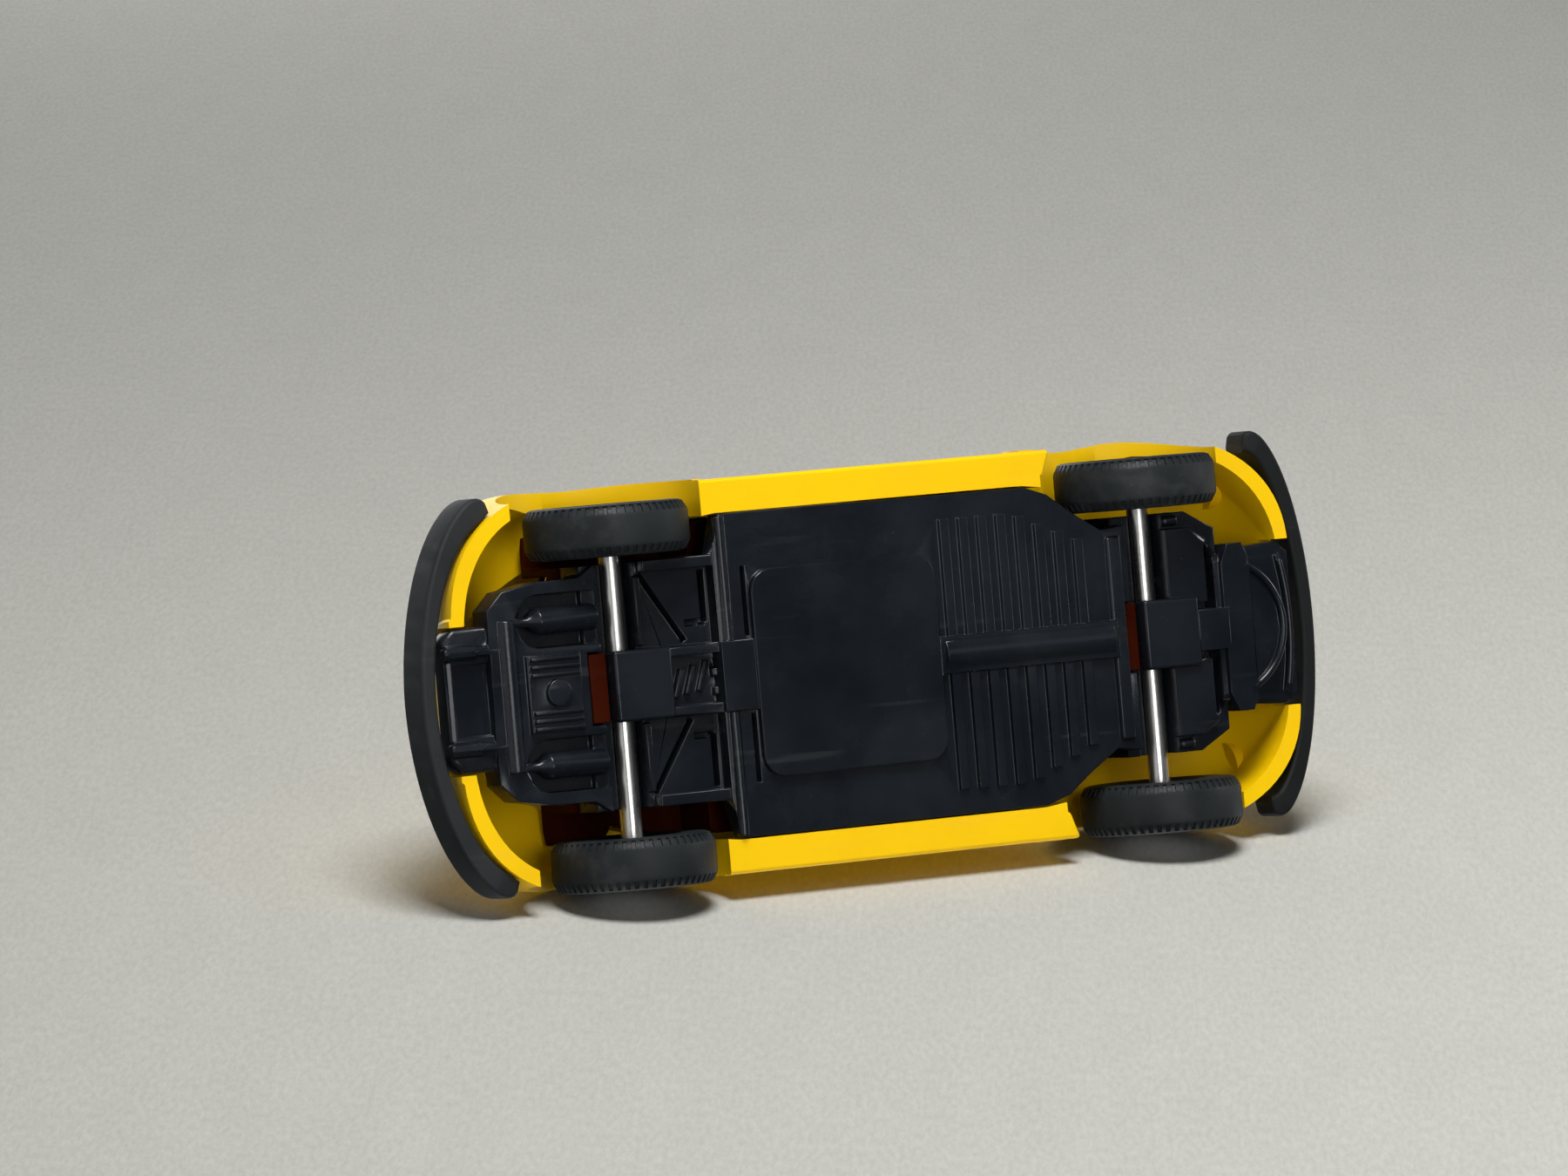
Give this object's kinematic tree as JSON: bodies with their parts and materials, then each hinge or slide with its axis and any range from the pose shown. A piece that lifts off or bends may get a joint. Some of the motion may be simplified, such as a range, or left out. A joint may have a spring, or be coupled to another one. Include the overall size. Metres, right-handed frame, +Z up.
{
  "type": "model car",
  "caption": "Small plastic model of a rounded two-door saloon with fenders and running boards, a chassis with engine and exhaust relief, and wheels that roll on steel pins.",
  "frame": {"origin": "under the middle of the car, on the surface that its tyres stand on", "axes": "+X towards the front of the car, +Y to its left, +Z up"},
  "size_m": [0.0468, 0.0184, 0.0172],
  "materials": {
    "body_yellow": "glossy moulded plastic, coloured through",
    "chassis_black": "satin blue-black moulded plastic",
    "bumper_grey": "matte grey-black moulded plastic",
    "interior_brown": "satin red-brown moulded plastic",
    "glazing_clear": "clear moulded plastic",
    "axle_steel": "bright drawn steel",
    "tyre_black": "matte dark grey plastic with a notched tread",
    "rim_silver": "silver plastic",
    "lamp_red": "clear red plastic",
    "lens_clear": "clear plastic over silver"
  },
  "bodies": {
    "car": {"body_shell": "body_yellow", "chassis_plate": "chassis_black", "front_bumper": "bumper_grey", "rear_bumper": "bumper_grey", "interior_tub": "interior_brown", "window_glazing": "glazing_clear", "steering_wheel": "chassis_black", "headlight_lens_left": "lens_clear", "headlight_lens_right": "lens_clear", "tail_lamp_left": "lamp_red", "tail_lamp_right": "lamp_red"},
    "front_pin": {"front_axle": "axle_steel"},
    "front_wheels": {"front_left_tyre": "tyre_black", "front_left_rim": "rim_silver", "front_right_tyre": "tyre_black", "front_right_rim": "rim_silver"},
    "rear_pin": {"rear_axle": "axle_steel"},
    "rear_wheels": {"rear_left_tyre": "tyre_black", "rear_left_rim": "rim_silver", "rear_right_tyre": "tyre_black", "rear_right_rim": "rim_silver"}
  },
  "joints": [
    {"name": "front_end_float", "type": "slide", "parent": "car", "child": "front_pin", "axis": [0, 1, 0], "range_m": [-0.0009, 0]},
    {"name": "front_wheels_turn", "type": "hinge", "parent": "front_pin", "child": "front_wheels", "pos_m": [0.0146, 0.00045, 0.00375], "axis": [0, 1, 0], "continuous": true},
    {"name": "rear_end_float", "type": "slide", "parent": "car", "child": "rear_pin", "axis": [0, 1, 0], "range_m": [-0.0009, 0]},
    {"name": "rear_wheels_turn", "type": "hinge", "parent": "rear_pin", "child": "rear_wheels", "pos_m": [-0.0132, 0.00045, 0.00375], "axis": [0, 1, 0], "continuous": true}
  ]
}
